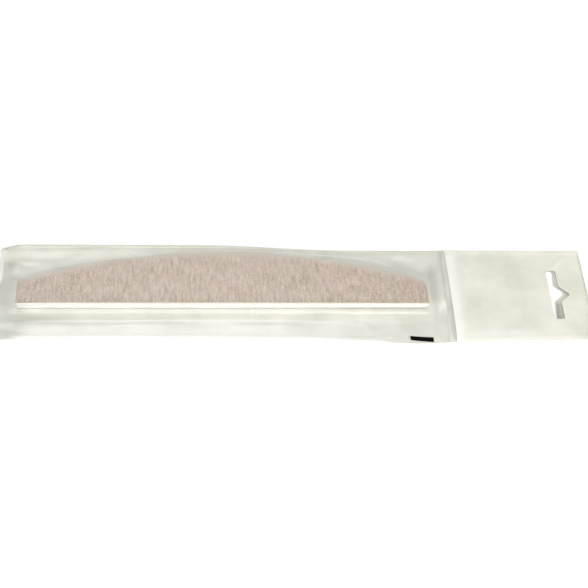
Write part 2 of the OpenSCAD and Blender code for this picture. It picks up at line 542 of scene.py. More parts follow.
# High-impact polystyrene: colder and glossier than the foam on both its sides
CORE = CutSheet("high_impact_polystyrene", "#F2F3F2", "#FDFDFD", 0.55)
PEARL = PearlFilm()
CLEAR = ClearFilm()
WELD = MeltedFilm()
# The bead along the near side is near white: painted light, which hides the shade under the bead
NEAR_BEAD_LIGHT = MeltedFilm("near_bead_painted_light_bopp", "#FAFAF5", "#FFFFFC")
# The far side's bead and the thinner bead at the header's end are greyer: painted shade for the dark lines
# along these edges
EDGE_SHADE_BEAD = MeltedFilm("edge_bead_painted_shade_bopp", "#C9CABD", "#D9DACF")
INK = PrintedInk()


def add_piece(name: str, points: Grid, faces: list, finish: Finish, body: Body,
              slot: str, *replaced: str) -> bpy.types.Object:
    """Makes a mesh piece, dresses it and sets it on its body.

    Args:
        name: The piece's name.
        points: Vertex positions, one row each.
        faces: Vertex numbers of each face.
        finish: The surface finish.
        body: The body that the piece moves with.
        slot: The record's material slot. It is not used.
        replaced: The CAD nodes that the piece stands for.

    Returns:
        The new object.
    """
    mesh = bpy.data.meshes.new(name)
    mesh.from_pydata([tuple(p) for p in points], [], faces)
    mesh.validate()
    mesh.polygons.foreach_set("use_smooth", [True] * len(mesh.polygons))
    mesh.update()
    piece = bpy.data.objects.new(name, mesh)
    bpy.context.scene.collection.objects.link(piece)
    mesh.materials.append(finish.material())
    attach(piece, body.value)
    if replaced:
        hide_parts(*replaced)
    LOG.info("%s: %d points, %d faces", name, len(mesh.vertices), len(mesh.polygons))
    return piece


def sharpen(piece: bpy.types.Object, angle: float = 35) -> None:
    """Keeps edges crisp where two faces meet at more than an angle, given in degrees."""
    piece.data.set_sharp_from_angle(angle=math.radians(angle))


def paint(piece: bpy.types.Object, name: str, weights: Grid) -> None:
    """Keeps a weight at each point of a piece, which its finish reads.

    Args:
        piece: The piece to paint. The second half of its points lies under the first half, or over it.
        name: What the weight stands for.
        weights: One weight from 0 to 1 for each point of the first half.
    """
    both = np.tile(weights.ravel(), 2)
    piece.data.attributes.new(name, "FLOAT", "POINT").data.foreach_set("value", both)


def net(x: Grid, low: Grid, high: Grid, share: Grid) -> tuple[Grid, Grid]:
    """Spreads points between two lines that run along X.

    Args:
        x: Places along X.
        low: Near line, one Y for each place.
        high: Far line, in the same way.
        share: Where the points lie between the two, from 0 to 1.

    Returns:
        X and Y of the points, each as rows along X and columns across.
    """
    y = low[:, None] + (high - low)[:, None] * share[None, :]
    return np.broadcast_to(x[:, None], y.shape), y


def rim_of(numbers: Grid) -> Grid:
    """Reads the numbers along the border of a grid, once round."""
    return np.concatenate([numbers[:, 0], numbers[-1, 1:], numbers[-2::-1, -1], numbers[0, -2:0:-1]])


def shell(upper: Grid, lower: Grid) -> tuple[Grid, list]:
    """Closes two grids of points, one over the other, into a thin solid.

    Args:
        upper: Points of the upper face, as rows, columns and coordinates.
        lower: Points of the lower face, in the same order.

    Returns:
        The points and the faces of the solid.
    """
    rows, columns = upper.shape[:2]
    count = rows * columns
    numbers = np.arange(count).reshape(rows, columns)
    a, b = numbers[:-1, :-1].ravel(), numbers[1:, :-1].ravel()
    c, d = numbers[1:, 1:].ravel(), numbers[:-1, 1:].ravel()
    faces = np.stack([a, b, c, d], 1).tolist() + (np.stack([a, d, c, b], 1) + count).tolist()
    rim = rim_of(numbers)
    after = np.roll(rim, -1)
    faces += np.stack([rim, rim + count, after + count, after], 1).tolist()
    return np.concatenate([upper.reshape(-1, 3), lower.reshape(-1, 3)]), faces


def slab(x: Grid, y: Grid, top: Grid, bottom: Grid) -> tuple[Grid, list]:
    """Closes the room between two heights over a net of points. See shell."""
    return shell(np.stack([x, y, top], 2), np.stack([x, y, bottom], 2))


@dataclass
class HalfMoonBoard:
    """The laminated board. Its length and heights come from the frame, its outline from real sizes."""

    end_height: float = 12.4 * MM
    corner: float = 2.5 * MM
    corner_steps: int = 8
    crown: float = 28 * MM
    grit_cell: float = 0.25 * MM
    plain_cell: float = 1.0 * MM
    plain_columns: int = 6
    relief: float = 0.07 * MM
    streak_run: int = 17
    tallest_grain: float = 2.2
    grain_seed: int = 11
    arc_grey_rim: float = 3.4 * MM
    most_arc_grey: float = 0.95
    undercut: float = 0.7 * MM
    half_length: float = field(init=False)
    arc_radius: float = field(init=False)
    arc_centre: float = field(init=False)

    def __post_init__(self) -> None:
        """Works out the arc from the board's length in the frame."""
        self.half_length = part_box("core_plate")[1].x
        rise = self.crown - self.end_height
        self.arc_radius = (self.half_length ** 2 + rise ** 2) / (2 * rise)
        self.arc_centre = self.crown - self.arc_radius

    def arc(self, x: Grid) -> Grid:
        """Height of the plain arc at x, up to the ends."""
        inside = np.clip(np.abs(x), 0, self.half_length)
        return self.arc_centre + np.sqrt(self.arc_radius ** 2 - inside ** 2)

    def edge(self, x: Grid) -> Grid:
        """Height of the outline at x, with its round corners."""
        corner_x = self.half_length - self.corner
        corner_y = self.arc_centre + math.sqrt((self.arc_radius - self.corner) ** 2 - corner_x ** 2)
        touch = corner_x + self.corner * corner_x / (self.arc_radius - self.corner)
        beyond = np.clip(np.abs(x) - corner_x, 0, self.corner)
        rounded = corner_y + np.sqrt(self.corner ** 2 - beyond ** 2)
        return np.where(np.abs(x) < touch, self.arc(x), rounded)

    def kept(self, z: float) -> float:
        """Share of its length that the board keeps at a height, as the die draws its ends in downwards."""
        top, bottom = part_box("upper_grit_coat")[1].z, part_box("lower_grit_coat")[0].z
        return 1 - self.undercut / self.half_length * (top - z) / (top - bottom)

    def stations(self, cell: float) -> Grid:
        """Places along X, evenly spaced but closer together round the two end corners."""
        corner_x = self.half_length - self.corner
        turn = np.sin(np.linspace(0, math.pi / 2, self.corner_steps + 1))[1:] * self.corner
        middle = np.linspace(-corner_x, corner_x, round(2 * corner_x / cell) + 1)
        return np.concatenate([-corner_x - turn[::-1], middle, corner_x + turn])

    def both_sides(self, node: str, x: Grid, y: Grid) -> tuple[Grid, Grid]:
        """Sets a net of points on the upper and on the lower side of a layer of the CAD model."""
        low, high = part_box(node)
        flat = np.stack([np.broadcast_to(x[:, None], y.shape), y, np.zeros_like(y)], 2)
        upper, lower = flat * (self.kept(high.z), 1, 1), flat * (self.kept(low.z), 1, 1)
        upper[:, :, 2] = high.z
        lower[:, :, 2] = low.z
        return upper, lower

    def layer(self, node: str, finish: Finish, slot: str, name: str, wave: float) -> None:
        """Builds one inner layer as a closed slab with a slightly uneven cut edge.

        Args:
            node: The CAD node that the slab stands for.
            finish: Its finish.
            slot: Its material slot.
            name: The piece's name.
            wave: How far the cut edge wanders.
        """
        x = self.stations(self.plain_cell)
        share = np.linspace(0, 1, self.plain_columns)
        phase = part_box(node)[0].z / MM
        wander = wave * np.sin(x * 2 * math.pi / (11 * MM) + phase) * np.sin(x / (3.7 * MM))
        y = self.edge(x)[:, None] * share[None, :] + wander[:, None] * (2 * share - 1)[None, :]
        points, faces = shell(*self.both_sides(node, x, y))
        sharpen(add_piece(name, points, faces, finish, Body.BOARD, slot, node))

    def grit_heights(self, shape: tuple[int, int], seed: int) -> Grid:
        """Relief of the grit: single grains over streaks that run across the board.

        Args:
            shape: Number of stations and columns.
            seed: Fixes the pattern.

        Returns:
            Heights from -1 to 1.
        """
        draw = np.random.default_rng(seed)
        grains = draw.normal(size=shape)
        streaks = draw.normal(size=shape)
        run = self.streak_run
        padded = np.cumsum(np.pad(streaks, ((0, 0), (run, 0)), mode="wrap"), axis=1)
        streaks = (padded[:, run:] - padded[:, :-run]) / math.sqrt(run)
        streaks = (np.roll(streaks, 1, 0) + 2 * streaks + np.roll(streaks, -1, 0)) / 4
        most = self.tallest_grain
        return np.clip(0.45 * grains + 0.75 * streaks, -most, most) / most

    def grit_coat(self, side: Side, node: str, cell: float) -> None:
        """Builds one abrasive face as a slab whose outer side carries the grains.

        Args:
            side: Which face of the board.
            node: The CAD node that it stands for.
            cell: Spacing of its points.
        """
        x = self.stations(cell)
        share = np.linspace(0, 1, round(self.crown / cell))
        y = self.edge(x)[:, None] * share[None, :]
        heights = self.grit_heights(y.shape, self.grain_seed + side.value)
        upper, lower = self.both_sides(node, x, y)
        outer = upper if side is Side.UPPER else lower
        outer[:, :, 2] -= side.value * self.relief * (0.5 - 0.5 * heights)
        points, faces = shell(upper, lower)
        piece = add_piece(f"{node}_grains", points, faces, GRIT, Body.BOARD, "grit", node)
        left = (1 - share)[None, :] * self.edge(x)[:, None]
        # The grit is greyer within a few millimetres of the arc
        paint(piece, ARC_GREY, self.most_arc_grey * (1 - ease(left / self.arc_grey_rim)))
        sharpen(piece, 60)

    def build(self) -> None:
        """Builds all eleven layers, from the outside in."""
        self.grit_coat(Side.UPPER, "upper_grit_coat", self.grit_cell)
        self.grit_coat(Side.LOWER, "lower_grit_coat", 2 * self.grit_cell)
        for side in ("upper", "lower"):
            for node, finish, slot, name, wave in (
                ("backing_paper", PAPER, "backing_paper", "paper_sheet", 0.02 * MM),
                ("glue_film", GLUE, "glue", "glue_line", 0.02 * MM),
                ("foam_pad", FOAM, "foam", "foam_slab", 0.05 * MM),
                ("core_tape", GLUE, "glue", "tape_line", 0.02 * MM),
            ):
                self.layer(f"{side}_{node}", finish, slot, f"{side}_{name}", wave)
        self.layer("core_plate", CORE, "core", "core_sheet", 0.01 * MM)


@dataclass(frozen=True)
class Crease:
    """A soft ridge (or, with a negative height, a soft valley) in the film, in millimetres.

    The lean widens its near side, so that one side is steep and the other one gentle.
    """

    start: Pair
    end: Pair
    width: float
    height: float
    lean: float = 1.0

    def at(self, x: Grid, y: Grid) -> Grid:
        """Height of the crease over a grid of points.

        Args:
            x: Places along the board, in metres.
            y: Places across the board, in metres.

        Returns:
            Heights in metres, which fade out at both ends of the crease.
        """
        start, end = np.array(self.start) * MM, np.array(self.end) * MM
        run = end - start
        along = ((x - start[0]) * run[0] + (y - start[1]) * run[1]) / (run @ run)
        nearest = np.clip(along, 0, 1)
        away = np.hypot(x - start[0] - nearest * run[0], y - start[1] - nearest * run[1])
        near_side = (x - start[0]) * run[1] - (y - start[1]) * run[0] > 0
        width = self.width * MM * np.where(near_side, self.lean, 1.0)
        fade = np.sin(math.pi * nearest) ** 0.5
        return self.height * MM * fade * np.exp(-((away / width) ** 2))


@dataclass(frozen=True)
class ShadePatch:
    """A soft patch of painted shade on the film, in millimetres, with how strong it is."""

    place: Pair
    reach: Pair
    strength: float

    def at(self, x: Grid, y: Grid) -> Grid:
        """Strength of the patch at places in metres."""
        (middle_x, middle_y), (reach_x, reach_y) = self.place, self.reach
        return self.strength * hump(x / MM, middle_x, reach_x) * hump(y / MM, middle_y, reach_y)


@dataclass
class FilmForm:
    """Shapes of the sleeve's films over the board and on the table."""

    board: HalfMoonBoard
    film: float = field(init=False)
    mouth: float = field(init=False)
    seam: float = field(init=False)
    end: float = field(init=False)
    roof: float = field(init=False)
    far_side: float = field(init=False)
    centre: float = field(init=False)
    bead: float = 0.6 * MM
    gap: float = 0.12 * MM
    side_gap: float = 0.3 * MM
    steep_run: float = 3.0 * MM
    gentle_run: float = 3.4 * MM
    edge_lift: float = 2.2 * MM
    edge_spread: float = 1.05 * MM
    header_lift: float = 1.1 * MM
    seam_lift: float = 1.3 * MM
    seam_reach: float = 6.5 * MM
    lift_end: Fade = Fade(-8, 62)
    mouth_run: float = 8 * MM
    mouth_wave: float = 0.6 * MM
    end_run: float = 4.4 * MM
    calm_margin: float = 3 * MM
    ripple: float = 0.05 * MM
    least_gap: float = 0.02 * MM
    back_share: float = 0.1
    side_ridge: float = 0.25 * MM
    lip: float = 0.95 * MM
    end_curl: float = 0.3 * MM
    # Lines of place along X and size, in millimetres. The film runs level for a shelf beside the board,
    # then falls steeply to its knee, gently to its apron and lies down to the near edge
    shelf_line: tuple[Pair, ...] = ((-97, 3), (-92, 2.5), (-84, 0))
    knee_line: tuple[Pair, ...] = ((-97, 3.4), (-92, 3.1), (-82, 2.0), (40, 1.8), (60, 1.4), (99, 1.2))
    apron_line: tuple[Pair, ...] = (
        (-97, 2.3), (-92, 2.0), (-82, 1.0), (0, 0.9), (40, 0.65), (60, 0.35), (99, 0.3),
    )
    # Run of the film's fall behind the board's arc, and its sag between there and the lifted far edge
    far_run_line: tuple[Pair, ...] = ((-97, 9), (20, 9), (45, 13), (68, 12), (80, 8), (99, 8))
    sag_line: tuple[Pair, ...] = ((-97, 0.5), (-82, 0.9), (-61, 0.9), (-57, 0.2), (60, 0.1))
    # Near edge of the sleeve: the film draws in beside the board and spreads out before the header
    near_line: tuple[Pair, ...] = (
        (-97, -16.6), (-53, -16.2), (0, -16.6), (40, -17.2), (70, -18.6), (85, -19.4), (99.6, -18.6),
        (120, -17.6), (162, -17.1),
    )
    creases: tuple[Crease, ...] = (
        # Fan from the left end of the arc towards the far edge
        Crease((-99, 19.6), (-87, 19.2), 1.2, 0.35, 3.0),
        Crease((-92, 22.4), (-76, 21.4), 1.5, 0.35),
        Crease((-96, 26.5), (-84, 28.5), 1.0, 0.12, 3.0),
        Crease((-84, 31.0), (-50, 31.5), 6.0, 0.75),
        Crease((-88, 16.0), (-60, 26), 1.6, 0.2, 3.0),
        # Over the arc and behind it
        Crease((-40, 28.8), (-4, 31), 2.2, 0.12),
        Crease((8, 30.5), (52, 28.5), 2.6, 0.14),
        # Comma and creases beside the board's right end
        Crease((76, 30.2), (88, 29.6), 2.6, 0.5),
        Crease((98, 31.5), (90.5, 25.0), 1.3, -0.4),
        Crease((96.0, 1), (97.2, 27), 2.2, 0.45),
        # Along the near ramp and the flat in front of it
        Crease((-80, -8), (-10, -6.8), 1.4, -0.15),
        Crease((-2, -10.5), (34, -9.8), 1.6, 0.12),
        Crease((38, -5), (62, -9), 1.5, 0.2),
        Crease((58, -8), (84, -6), 1.8, 0.2),
        Crease((60, -12.5), (80, -10.5), 1.5, 0.16),
        Crease((-30, -13), (0, -11.5), 1.5, 0.1),
    )
    header_creases: tuple[Crease, ...] = (
        # From the slot's far corner to the header's corner, and beside the bump
        Crease((145.5, 20.8), (155, 29.6), 1.0, 0.3, 2.0),
        Crease((154, 7.5), (160, 7.9), 0.8, 0.2, 2.0),
    )

    def __post_init__(self) -> None:
        """Takes the sleeve's edges and heights from the frame."""
        self.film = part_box("back_film")[1].z
        self.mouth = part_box("front_film")[0].x
        self.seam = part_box("front_film")[1].x
        self.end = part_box("header_film")[1].x
        self.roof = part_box("upper_grit_coat")[1].z + self.gap
        self.far_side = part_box("far_side_weld")[1].y
        self.centre = (self.far_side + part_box("near_side_weld")[0].y) / 2

    @staticmethod
    def along(line: tuple[Pair, ...], x: Grid) -> Grid:
        """Reads a line of places and sizes at x, with its corners rounded off."""
        places, sizes = (np.array(values) * MM for values in zip(*line))
        shifts = np.linspace(-6 * MM, 6 * MM, 9)
        return np.mean([np.interp(x + shift, places, sizes) for shift in shifts], axis=0)

    def near(self, x: Grid) -> Grid:
        """Near edge of the sleeve at x."""
        return self.along(self.near_line, x)

    def far(self, x: Grid) -> Grid:
        """Far edge of the sleeve at x, straight but for where the raised film spreads it out."""
        return self.far_side + self.edge_spread * self.lift(x)

    def lift(self, x: Grid) -> Grid:
        """How far the far edge is off the table, as a share of its most."""
        drop = 0.3 + 0.7 * ease((x - self.mouth) / self.mouth_run)
        return self.lift_end.fall(x) * drop

    def across(self, x: Grid, y: Grid) -> Grid:
        """Share of the way from the near edge to the far edge."""
        near = self.near(x)
        return np.clip((y - near) / (self.far(x) - near), 0, 1)

    def header_rise(self, x: Grid, y: Grid) -> Grid:
        """How far the header is off the table: a soft arch, highest near the slot's near end."""
        along = np.clip((x - self.seam) / (self.end - self.seam), 0, 1)
        bow = ease(along / 0.75) * (1 - 0.55 * ease((along - 0.85) / 0.15))
        return self.header_lift * bow * np.sin(math.pi * self.across(x, y) ** 0.72)

    def back(self, x: Grid, y: Grid) -> Grid:
        """Underside of the back film: flat under the board, lifted along the far edge and in the header."""
        start = self.board.crown + self.side_gap
        share = (y - start) / (self.far(x) - start)
        rising = [np.clip((share - late) / (1 - late), 0, 1) for late in (0, 0.07, 0.14, 0.21)]
        # The weld is stiff, so it stands off the table as a soft ridge
        arch = np.sin(math.pi * self.across(x, y)) ** 0.5
        ridge = self.seam_lift * hump(x, self.seam, self.seam_reach) * arch
        lifted = self.edge_lift * self.lift(x) * np.mean(rising, axis=0)
        return lifted + self.back_share * self.header_rise(x, y) + ridge

    def roof_far(self, x: Grid) -> Grid:
        """Where the front film leaves the board: constant left of the crown, on the arc to its right."""
        return self.side_gap + self.board.arc(np.maximum(x, 0))

    @staticmethod
    def slope(share: Grid, late: float = 0.24) -> Grid:
        """A straight ramp from 0 to 1 with its corners rounded off over the late part of its run."""
        shifts = np.linspace(0, late, 11)
        return np.mean([np.clip((share - shift) / (1 - late), 0, 1) for shift in shifts], axis=0)

    def near_fall(self, x: Grid, y: Grid) -> Grid:
        """Height of the front film over the back film, level over the board, falling to the near edge."""
        roof = self.roof - self.film
        knee, apron = self.along(self.knee_line, x), self.along(self.apron_line, x)
        start = -self.side_gap - self.along(self.shelf_line, x)
        rest = start - self.near(x) - self.steep_run - self.gentle_run
        heights = []
        for shift in np.linspace(0, 1.2 * MM, 5):
            out = start - y - shift
            steep = np.clip(out / self.steep_run, 0, 1)
            gentle = np.clip((out - self.steep_run) / self.gentle_run, 0, 1)
            lying = np.clip((out - self.steep_run - self.gentle_run) / rest, 0, 1)
            heights.append(roof + (knee - roof) * steep + (apron - knee) * gentle - apron * lying ** 1.6)
        return np.mean(heights, axis=0)

    def front(self, x: Grid, y: Grid) -> Grid:
        """Underside of the front film."""
        near, far, far_top = self.near(x), self.far(x), self.roof_far(x)
        far_run = np.minimum(self.along(self.far_run_line, x), far - self.bead - far_top)
        far_share = 1 - self.slope((y - far_top) / far_run, 0.34)
        past = 1 - self.slope((x - self.board.half_length - self.side_gap) / self.end_run)
        # The mouth end of the film waves up off the board and comes down again at the very end
        inward = (x - self.mouth) / self.mouth_run
        wave = self.mouth_wave * ease(inward / 0.85) * (1 - ease((inward - 0.85) / 0.9))
        wave = wave * ease((y - near) / (15 * MM))
        raised = (self.near_fall(x, y) + wave) * far_share * past
        behind = np.clip((y - far_top) / (far - far_top), 0, 1)
        raised = raised - self.along(self.sag_line, x) * self.lift(x) * np.sin(math.pi * behind)
        # Creases and ripple fade out towards the welds, and the board holds the film up over it
        rim = ease(np.minimum(y - near, far - y) / self.calm_margin)
        calm = rim * ease(np.minimum(self.seam - x, x - self.mouth) / self.calm_margin)
        creased = sum(crease.at(x, y) for crease in self.creases)
        over_board = (y > -self.side_gap) & (y < far_top) & (x < self.board.half_length)
        creased = np.where(over_board, np.maximum(creased, 0) * 0.6, creased) * calm
        wavelets = np.sin(x / (4.3 * MM) + y / (2.9 * MM)) * np.sin(y / (5.1 * MM) - x / (13 * MM)) + 1
        height = np.maximum(raised + creased + self.ripple * calm * wavelets, self.least_gap)
        return self.back(x, y) + self.film + height


@dataclass
class HangingSleeve:
    """The welded film sleeve: back film, front film, header, welds and the printed registration mark."""

    form: FilmForm
    width: float = 50 * MM
    front_cell: float = 0.6 * MM
    back_cell: float = 1.2 * MM
    header_cell: float = 0.9 * MM
    front_share: float = 0.6
    back_slip: float = 2.25 * MM
    slip_spread: float = 0.85
    side_slip: float = 0.65
    # How the header's lip, its curled end and its curled far side die away, and where its side ridge stands
    lip_run: Fade = Fade(0, 5)
    lip_side: Fade = Fade(0, 4)
    curled_end: Fade = Fade(0, 1.3)
    curled_side: Fade = Fade(0, 2)
    ridge_inset: float = 1.4 * MM
    ridge_reach: float = 0.7 * MM
    # Painted shade on the back film beyond the slot, on its near side
    shade_start: Fade = Fade(-1.5, 1.5)
    shade_end: Fade = Fade(0, 2.6)
    bruise_side: Fade = Fade(2.5, 3)
    shade_loss: float = 0.75
    # Painted shade in a band at the mouth, which is deeper in front of the board and weaker behind it
    most_film_shade: float = 0.075
    mouth_shade: float = 0.85
    mouth_depth: float = 3 * MM
    mouth_deeper: float = 4 * MM
    mouth_front: Fade = Fade(2, 10)
    mouth_fade: Fade = Fade(0, 12)
    mouth_behind: Fade = Fade(19, 5)
    mouth_loss: float = 0.7
    # Painted shade in strips beside the board's inner end and beside the weld, and in the margin along the
    # far side
    strip_reach: float = 2.5 * MM
    inner_inset: float = 3.7 * MM
    inner_middle: float = 13 * MM
    inner_side: Fade = Fade(8, 5)
    weld_strip: float = 95.5 * MM
    weld_side: Fade = Fade(0, 5)
    margin_shade: float = 0.4
    margin_side: Fade = Fade(0, 5)
    margin_start: Fade = Fade(-90, 15)
    margin_end: Fade = Fade(25, 20)
    # Painted light along the near seal, a painted highlight at the mouth's cut end, and painted light on the
    # header beside the weld and along its near side
    most_painted_light: float = 0.92
    seal_side: Fade = Fade(0.4, 2.4)
    seal_start: Fade = Fade(-94, 9)
    seal_end: Fade = Fade(62, 16)
    cut_highlight: float = 0.95
    cut_end: Fade = Fade(0.6, 1.6)
    cut_side: Fade = Fade(8, 6)
    beside_light: float = 0.65
    beside_weld: Fade = Fade(1.5, 5.5)
    along_light: float = 0.5
    along_side: Fade = Fade(2, 5)
    along_end: Fade = Fade(132, 12)
    near_bead: float = 0.3 * MM
    end_half: float = 0.25 * MM
    long_steps: int = 520
    end_steps: int = 90
    weld_steps: tuple[int, int] = (37, 90)
    weld_film: float = 0.05 * MM
    weld_ribs: int = 4
    rib_height: float = 0.015 * MM
    weld_bruise: float = 0.32
    weld_bruise_side: Fade = Fade(-1, 10)
    slot_drop: float = 0.9 * MM
    slot_width: float = 4.4 * MM
    slot_length: float = 27.2 * MM
    slot_corner: float = 0.8 * MM
    slot_inset: float = 17 * MM
    bump_height: float = 4 * MM
    bump_base: float = 8.8 * MM
    bump_tip: float = 1.5 * MM
    turn_steps: int = 8
    mark_start: float = 79.6 * MM
    mark_end: float = 89.6 * MM
    mark_width: float = 2.1 * MM
    mark_flare: float = 0.35 * MM
    mark_inset: float = 1.9 * MM
    mark_lean: float = 1.1 * MM
    mark_steps: tuple[int, int] = (41, 9)
    ink: float = 0.02 * MM
    # Patches of painted shade at the mouth: behind the board's far corner, and in front of its near one
    shade_patches: tuple[ShadePatch, ...] = (
        ShadePatch((-92.3, 20), (3, 2.4), 2.8),
        ShadePatch((-79, -7), (12, 2.4), 1.9),
        ShadePatch((-88, -10), (5, 3), 1.2),
    )

    def slot_outline(self) -> list[Pair]:
        """Outline of the hang slot: a bar across the sleeve with a round-tipped bump."""
        corner, half, wide = self.slot_corner, self.slot_length / 2, self.slot_width
        base = self.bump_base / 2
        tip = wide + self.bump_height - self.bump_tip
        reach = math.hypot(tip - wide, base)
        touch = math.atan2(base, wide - tip) - math.acos(self.bump_tip / reach)
        origin = (self.form.end - self.slot_inset, self.form.centre - self.slot_drop)
        # Centre and radius of each turn, and its first and last angle
        turns = (
            (corner, corner - half, corner, math.pi, 1.5 * math.pi),
            (wide - corner, corner - half, corner, 1.5 * math.pi, 2 * math.pi),
            (wide, -base, 0, 0, 0),
            (tip, 0, self.bump_tip, -touch, touch),
            (wide, base, 0, 0, 0),
            (wide - corner, half - corner, corner, 0, 0.5 * math.pi),
            (corner, half - corner, corner, 0.5 * math.pi, math.pi),
        )
        outline = []
        for x, y, radius, start, stop in turns:
            for angle in np.linspace(start, stop, self.turn_steps + 1 if radius else 1):
                outline.append((
                    origin[0] + x + radius * math.cos(angle), origin[1] + y + radius * math.sin(angle),
                ))
        return outline

    def slotted_sheet(self, start: float, cell: float, slip: float) -> tuple[Grid, list]:
        """Plans a flat sheet with the hang slot cut out of it.

        Args:
            start: Where the sheet starts along X. It ends at the header's end.
            cell: Spacing of its points.
            slip: How far the sheet's slot has slipped towards the mouth. Its near end slips more.

        Returns:
            The plan's points and its triangles.
        """
        form = self.form
        x = start + (form.end - start) * np.linspace(0, 1, round((form.end - start) / cell) + 1)
        share = np.linspace(0, 1, round(self.width / cell) + 1)
        grid_x, grid_y = net(x, form.near(x) + 0.5 * self.near_bead, form.far(x) - 0.5 * form.bead, share)
        slot = []
        for slot_x, slot_y in self.slot_outline():
            low = (form.centre - slot_y) / self.slot_length
            bulge = self.side_slip * slip * (1 - (2 * low) ** 2)
            slot.append((slot_x - slip * (1 + self.slip_spread * low), slot_y + bulge))
        kept = self.clear_of(grid_x, grid_y, slot) > 0.45 * cell
        kept[[0, -1], :] = kept[:, [0, -1]] = True
        numbers = np.full(kept.shape, -1)
        numbers[kept] = len(slot) + np.arange(kept.sum())
        points = [Vector(p) for p in slot + np.column_stack([grid_x[kept], grid_y[kept]]).tolist()]
        edges = []
        for loop in (list(range(len(slot))), rim_of(numbers).tolist()):
            edges += [(loop[k - 1], loop[k]) for k in range(len(loop))]
        made = geometry.delaunay_2d_cdt(points, edges, [], 1, 1e-9)
        plan = np.array([tuple(p) for p in made[0]])
        triangles = np.array(made[2])
        middles = plan[triangles].mean(1)
        return plan, triangles[self.clear_of(middles[:, 0], middles[:, 1], slot) > 0].tolist()

    @staticmethod
    def clear_of(x: Grid, y: Grid, outline: list[Pair]) -> Grid:
        """Distance from places to a closed outline, with a minus sign inside it.

        Args:
            x: The places' X.
            y: The places' Y.
            outline: Corners of the outline, in order.

        Returns:
            One distance for each place.
        """
        distance, inside = np.full(x.shape, np.inf), np.zeros(x.shape, bool)
        for (x0, y0), (x1, y1) in zip(outline, outline[1:] + outline[:1]):
            run, rise = x1 - x0, y1 - y0
            share = np.clip(((x - x0) * run + (y - y0) * rise) / (run ** 2 + rise ** 2), 0, 1)
            distance = np.minimum(distance, np.hypot(x0 + share * run - x, y0 + share * rise - y))
            crossed = ((x - x0) * rise < run * (y - y0)) == (rise > 0)
            inside ^= crossed & ((y0 > y) != (y1 > y))
        return np.where(inside, -distance, distance)

    def thicken(self, plan: Grid, triangles: list, lower: Grid) -> tuple[Grid, list]:
        """Gives a planned sheet the thickness of the film.

        Args:
            plan: The plan's points.
            triangles: Its triangles.
            lower: Height of the underside at each point.

        Returns:
            The points and faces of the closed sheet.
        """
        count = len(plan)
        under = np.column_stack([plan, lower])
        over = np.column_stack([plan, lower + self.form.film])
        sides = set()
        faces = []
        for a, b, c in triangles:
            p, q, r = plan[a], plan[b], plan[c]
            if (q[0] - p[0]) * (r[1] - p[1]) - (q[1] - p[1]) * (r[0] - p[0]) < 0:
                b, c = c, b
            faces += [[a + count, b + count, c + count], [a, c, b]]
            sides |= {(a, b), (b, c), (c, a)}
        for start, end in sorted(sides):
            if (end, start) not in sides:
                faces.append([start, end, end + count, start + count])
        return np.concatenate([under, over]), faces

    def back_film(self) -> None:
        """Builds the pearly back film, the whole length of the sleeve, with its slot."""
        plan, triangles = self.slotted_sheet(self.form.mouth, self.back_cell, self.back_slip)
        x, y = plan.T
        points, faces = self.thicken(plan, triangles, self.form.back(x, y))
        piece = add_piece("back_film_sheet", points, faces, PEARL, Body.SLEEVE, "pearl_film", "back_film")
        # Painted shade greys the back film beside the near end of the slot, under the header film
        paint(piece, PAINTED_GREY_SHADE, self.grey_shade(x, y))
        sharpen(piece)

    def grey_shade(self, x: Grid, y: Grid) -> Grid:
        """How much painted shade greys the back film: most beside the near end of its slot."""
        below = self.form.centre - self.slot_drop - y
        slipped = self.back_slip * (1 + self.slip_spread * below / self.slot_length)
        beyond = x - (self.form.end - self.slot_inset + self.slot_width - slipped)
        beside = self.shade_start.rise(beyond) * (1 - self.shade_loss * self.shade_end.rise(beyond))
        return beside * self.bruise_side.rise(below)

    def header_film(self) -> None:
        """Builds the header's upper film, bowed up more than the back film under it."""
        form = self.form
        plan, triangles = self.slotted_sheet(form.seam, self.header_cell, 0)
        x, y = plan.T
        past, near, far = x - form.seam, y - form.near(x), form.far(x) - y
        inside = np.minimum(near, far)
        lip = form.lip * self.lip_run.fall(past) * self.lip_side.rise(inside)
        # Side seams of the header stand up a little inside its edges
        lip += form.side_ridge * hump(inside, self.ridge_inset, self.ridge_reach)
        # Its cut end and its far side curl up a little
        lip += form.end_curl * (self.curled_end.fall(form.end - x) + self.curled_side.fall(far))
        lip += sum(crease.at(x, y) for crease in form.header_creases)
        lower = form.back(x, y) + 3 * form.film + lip + (1 - form.back_share) * form.header_rise(x, y)
        points, faces = self.thicken(plan, triangles, lower)
        piece = add_piece("header_sheet", points, faces, PEARL, Body.SLEEVE, "pearl_film", "header_film")
        # Painted light whitens it beside the weld and along the first part of its near side
        beside = self.beside_light * self.beside_weld.fall(past)
        along = self.along_light * self.along_side.fall(near) * self.along_end.fall(x)
        paint(piece, PAINTED_LIGHT, np.maximum(beside, along))
        sharpen(piece)

    def front_film(self) -> None:
        """Builds the clear front film, creased where the photograph shows it."""
        form = self.form
        x = np.linspace(form.mouth, form.seam, round((form.seam - form.mouth) / self.front_cell) + 1)
        share = np.linspace(0, 1, round(self.width / self.front_cell) + 1)
        x, y = net(x, form.near(x) + 0.5 * self.near_bead, form.far(x) - 0.5 * form.bead, share)
        height = form.front(x, y)
        points, faces = slab(x, y, height + self.front_share * form.film, height)
        piece = add_piece("front_film_sheet", points, faces, CLEAR, Body.SLEEVE, "clear_film", "front_film")
        # Painted shade darkens the film in places, and painted light whitens it along the near seal and at
        # the mouth's cut end
        paint(piece, PAINTED_FILM_SHADE, self.film_shade_weights(x, y))
        # Painted light along the near seal and a painted highlight at the mouth's cut end
        paint(piece, PAINTED_LIGHT, self.milk(x, y))

